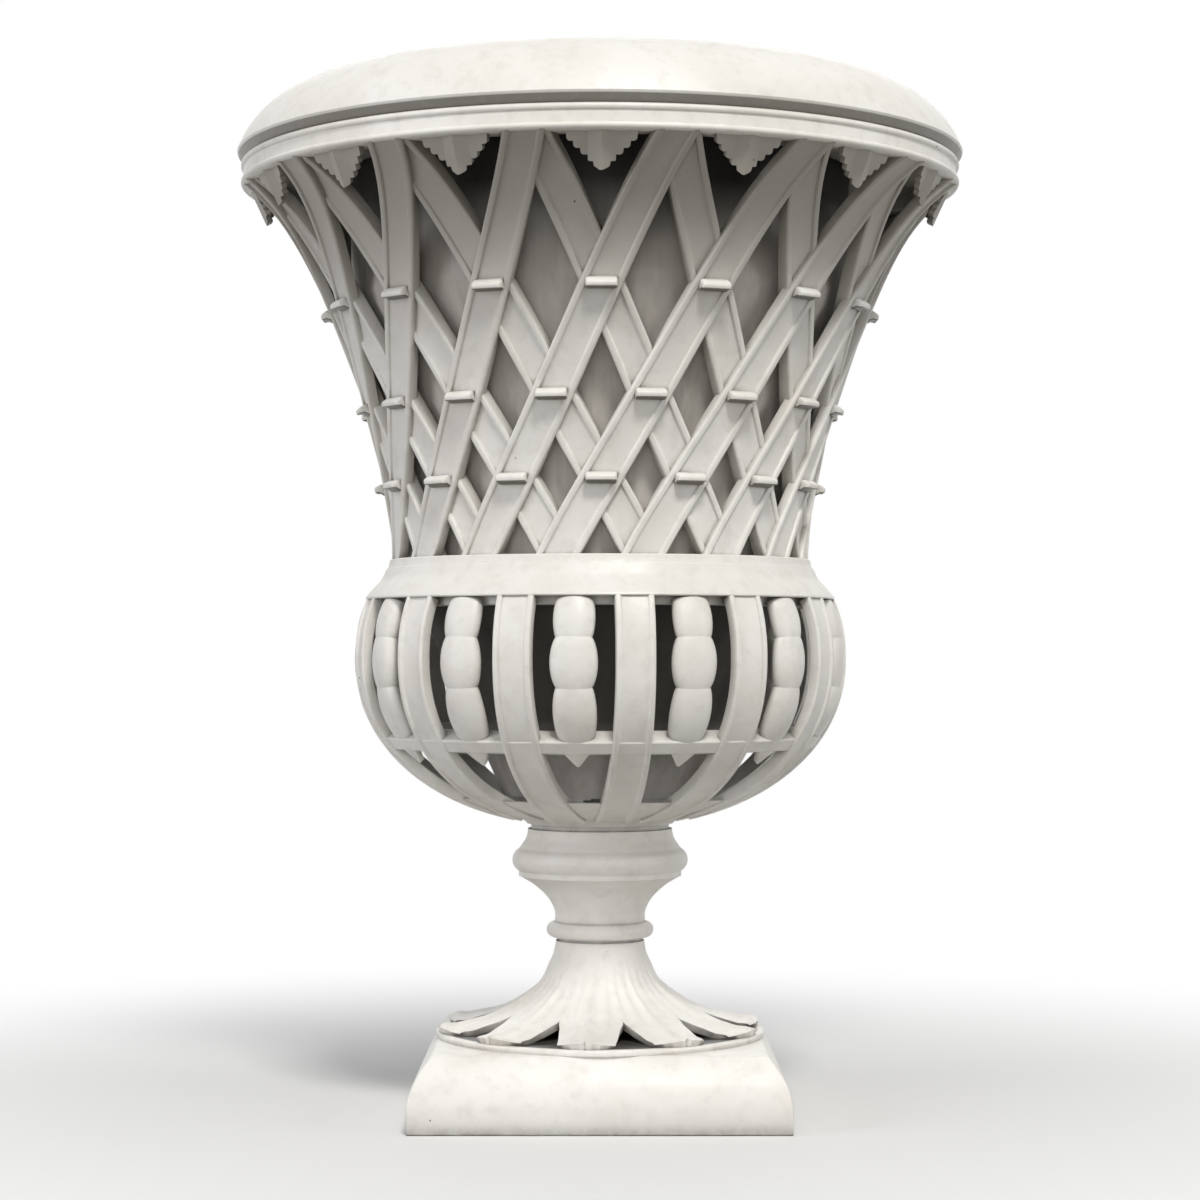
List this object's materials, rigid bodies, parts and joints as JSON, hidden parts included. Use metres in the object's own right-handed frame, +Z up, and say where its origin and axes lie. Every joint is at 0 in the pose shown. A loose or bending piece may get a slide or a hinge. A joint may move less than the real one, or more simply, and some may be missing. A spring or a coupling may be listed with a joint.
{
  "type": "urn vase",
  "caption": "Footed openwork urn with a crossed-strip lattice bell, a ribbed bowl, a rolled rim, a square plinth and a lift-out tapered liner.",
  "frame": {"origin": "centre of the square base's underside, on the surface that the urn stands on", "axes": "+Z up along the urn's axis, the front faces -Y, +X to the right of the front"},
  "size_m": [0.403, 0.403, 0.562],
  "materials": {
    "white_enamel": "satin off-white enamel paint over cast metal",
    "galvanised_steel": "dull zinc-plated steel",
    "grey_liner_paint": "matt warm grey paint over sheet metal"
  },
  "bodies": {
    "urn": {"plinth": "white_enamel", "leaf_foot": "white_enamel", "stem": "white_enamel", "bowl_cup": "white_enamel", "bowl_ribs": "white_enamel", "bowl_ring": "white_enamel", "belt": "white_enamel", "ring_drops": "white_enamel", "bowl_spindles": "white_enamel", "lattice_front_strips": "white_enamel", "lattice_back_strips": "white_enamel", "collars_lower": "white_enamel", "collars_middle": "white_enamel", "collars_upper": "white_enamel", "rim_lip_ring": "white_enamel", "rim_crown": "white_enamel", "rim_leaves": "white_enamel", "rim_screws": "galvanised_steel", "tie_rod": "galvanised_steel", "lower_washer": "galvanised_steel", "lower_nut": "galvanised_steel", "upper_washer": "galvanised_steel", "upper_nut": "galvanised_steel"},
    "liner": {"liner_wall": "grey_liner_paint", "liner_floor": "grey_liner_paint", "liner_flange": "grey_liner_paint"}
  },
  "joints": [
    {"name": "liner_lift", "type": "slide", "parent": "urn", "child": "liner", "axis": [0, 0, 1], "range_m": [0, 0.395]}
  ]
}
